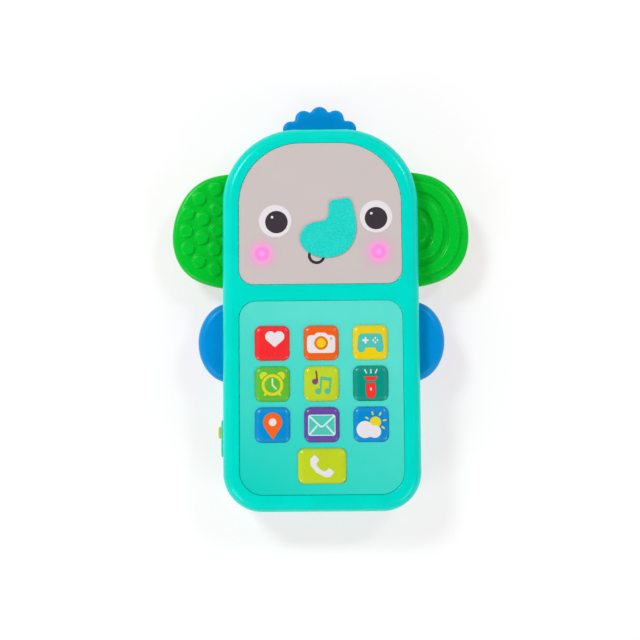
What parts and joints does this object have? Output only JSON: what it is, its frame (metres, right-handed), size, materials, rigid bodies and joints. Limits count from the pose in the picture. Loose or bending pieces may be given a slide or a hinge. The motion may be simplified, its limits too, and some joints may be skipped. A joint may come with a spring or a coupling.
{
  "type": "toy cell phone",
  "caption": "Elephant-shaped electronic toy phone lying face up, with coloured picture keys that push in, lit cheeks, soft ears and a slide switch on its side.",
  "frame": {"origin": "middle of the whole toy's box, on the surface that its flat back rests on", "axes": "+X to the right of a person facing the keys, +Y from the call key towards the top of the head, +Z out of the face"},
  "size_m": [0.1194, 0.1624, 0.025],
  "materials": {
    "case_turquoise": "glossy moulded ABS",
    "face_film": "glossy clear over warm grey print",
    "trunk_print": "fine grained print",
    "keypad_overlay": "satin printed overlay",
    "ear_green": "soft moulded TPR, semi-gloss",
    "limb_blue": "soft moulded plastic, semi-gloss",
    "knob_yellow": "glossy moulded plastic",
    "lamp_pink": "translucent tinted lamp",
    "cup_white": "matte moulded",
    "silicone_grey": "matte silicone",
    "board_green": "solder mask over glass-fibre laminate",
    "epoxy_black": "glossy epoxy",
    "screw_steel": "zinc plated",
    "contact_steel": "nickel plated",
    "speaker_steel": "black painted",
    "cone_paper": "pressed paper",
    "magnet_grey": "plain ferrite",
    "cell_jacket": "plain printed jacket",
    "switch_black": "moulded",
    "lead_red": "soft insulation",
    "lead_black": "soft insulation",
    "key_red": "glossy moulded, printed symbol",
    "key_orange": "glossy moulded, printed symbol",
    "key_yellow": "glossy moulded, printed symbol",
    "key_green": "glossy moulded, printed symbol",
    "key_lime": "glossy moulded, printed symbol",
    "key_dark_green": "glossy moulded, printed symbol",
    "key_blue": "glossy moulded, printed symbol",
    "key_purple": "glossy moulded, printed symbol"
  },
  "bodies": {
    "casing": {"front_shell": "case_turquoise", "rear_shell": "case_turquoise", "face_panel": "face_film", "trunk_patch": "trunk_print", "keypad_panel": "keypad_overlay", "dome_mat": "silicone_grey", "main_board": "board_green", "chip_blob": "epoxy_black", "capacitors": "epoxy_black", "resistors": "epoxy_black", "board_screws": "screw_steel", "case_screws": "screw_steel", "led_board": "board_green", "cheek_led_left": "lamp_pink", "cheek_led_right": "lamp_pink", "light_cup_left": "cup_white", "light_cup_right": "cup_white", "speaker_frame": "speaker_steel", "speaker_cone": "cone_paper", "speaker_magnet": "magnet_grey", "battery_upper": "cell_jacket", "battery_lower": "cell_jacket", "contact_positive": "contact_steel", "contact_negative": "contact_steel", "contact_bridge": "contact_steel", "battery_door": "case_turquoise", "battery_door_screw": "screw_steel", "switch_body": "contact_steel", "left_ear": "ear_green", "right_ear": "ear_green", "left_arm": "limb_blue", "right_arm": "limb_blue", "hair_tuft": "limb_blue", "battery_lead_red": "lead_red", "battery_lead_black": "lead_black", "speaker_leads": "lead_black", "led_leads": "lead_red", "switch_leads": "lead_black"},
    "key_heart": {"key_heart": "key_red"},
    "key_camera": {"key_camera": "key_orange"},
    "key_game": {"key_game": "key_yellow"},
    "key_clock": {"key_clock": "key_green"},
    "key_music": {"key_music": "key_lime"},
    "key_torch": {"key_torch": "key_dark_green"},
    "key_map": {"key_map": "key_blue"},
    "key_mail": {"key_mail": "key_purple"},
    "key_weather": {"key_weather": "key_blue"},
    "key_call": {"key_call": "key_lime"},
    "switch_knob": {"switch_knob": "knob_yellow", "switch_actuator": "switch_black"}
  },
  "joints": [
    {"name": "key_heart_press", "type": "slide", "parent": "casing", "child": "key_heart", "axis": [0, 0, -1], "range_m": [0, 0.001], "stiffness_N_per_m": 600, "springref_m": -0.0005, "deforming": ["dome_mat"]},
    {"name": "key_camera_press", "type": "slide", "parent": "casing", "child": "key_camera", "axis": [0, 0, -1], "range_m": [0, 0.001], "stiffness_N_per_m": 600, "springref_m": -0.0005, "deforming": ["dome_mat"]},
    {"name": "key_game_press", "type": "slide", "parent": "casing", "child": "key_game", "axis": [0, 0, -1], "range_m": [0, 0.001], "stiffness_N_per_m": 600, "springref_m": -0.0005, "deforming": ["dome_mat"]},
    {"name": "key_clock_press", "type": "slide", "parent": "casing", "child": "key_clock", "axis": [0, 0, -1], "range_m": [0, 0.001], "stiffness_N_per_m": 600, "springref_m": -0.0005, "deforming": ["dome_mat"]},
    {"name": "key_music_press", "type": "slide", "parent": "casing", "child": "key_music", "axis": [0, 0, -1], "range_m": [0, 0.001], "stiffness_N_per_m": 600, "springref_m": -0.0005, "deforming": ["dome_mat"]},
    {"name": "key_torch_press", "type": "slide", "parent": "casing", "child": "key_torch", "axis": [0, 0, -1], "range_m": [0, 0.001], "stiffness_N_per_m": 600, "springref_m": -0.0005, "deforming": ["dome_mat"]},
    {"name": "key_map_press", "type": "slide", "parent": "casing", "child": "key_map", "axis": [0, 0, -1], "range_m": [0, 0.001], "stiffness_N_per_m": 600, "springref_m": -0.0005, "deforming": ["dome_mat"]},
    {"name": "key_mail_press", "type": "slide", "parent": "casing", "child": "key_mail", "axis": [0, 0, -1], "range_m": [0, 0.001], "stiffness_N_per_m": 600, "springref_m": -0.0005, "deforming": ["dome_mat"]},
    {"name": "key_weather_press", "type": "slide", "parent": "casing", "child": "key_weather", "axis": [0, 0, -1], "range_m": [0, 0.001], "stiffness_N_per_m": 600, "springref_m": -0.0005, "deforming": ["dome_mat"]},
    {"name": "key_call_press", "type": "slide", "parent": "casing", "child": "key_call", "axis": [0, 0, -1], "range_m": [0, 0.001], "stiffness_N_per_m": 600, "springref_m": -0.0005, "deforming": ["dome_mat"]},
    {"name": "switch_knob_slide", "type": "slide", "parent": "casing", "child": "switch_knob", "axis": [0, -1, 0], "range_m": [0, 0.005]}
  ]
}
